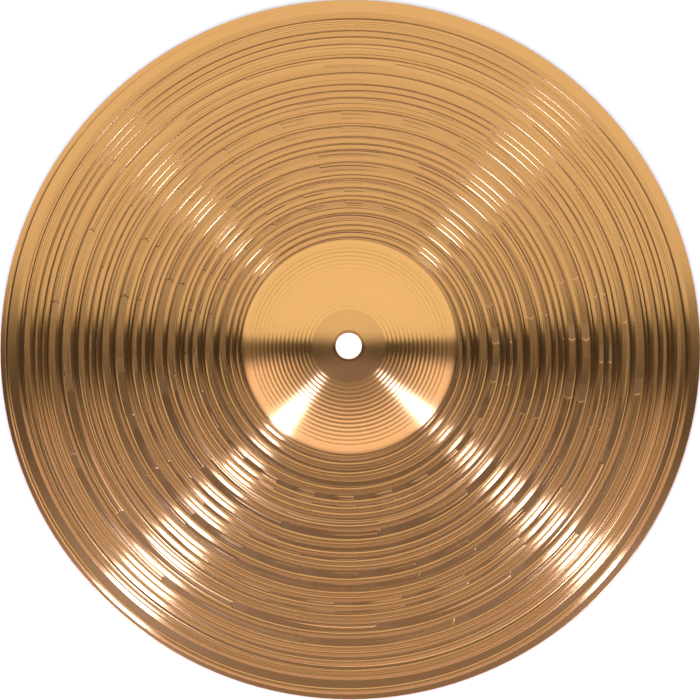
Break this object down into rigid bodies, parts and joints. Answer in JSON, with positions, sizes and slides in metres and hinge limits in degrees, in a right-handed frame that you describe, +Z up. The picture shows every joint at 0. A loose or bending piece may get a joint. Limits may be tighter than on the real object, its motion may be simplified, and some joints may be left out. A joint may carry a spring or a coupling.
{
  "type": "crash cymbal",
  "caption": "Round bronze cymbal with a raised bell, a gently curved bow, a thin rim and a central hole for a stand's rod.",
  "frame": {"origin": "on the axis of the hole, at the height of the plane that the rim rests on", "axes": "+Z up along the axis, from the rim to the bell; X and Y lie in the plane of the rim"},
  "size_m": [0.3556, 0.3556, 0.0358],
  "materials": {
    "bronze": "lathed and hammered bronze"
  },
  "bodies": {
    "root": {"cymbal": "bronze"}
  },
  "joints": []
}
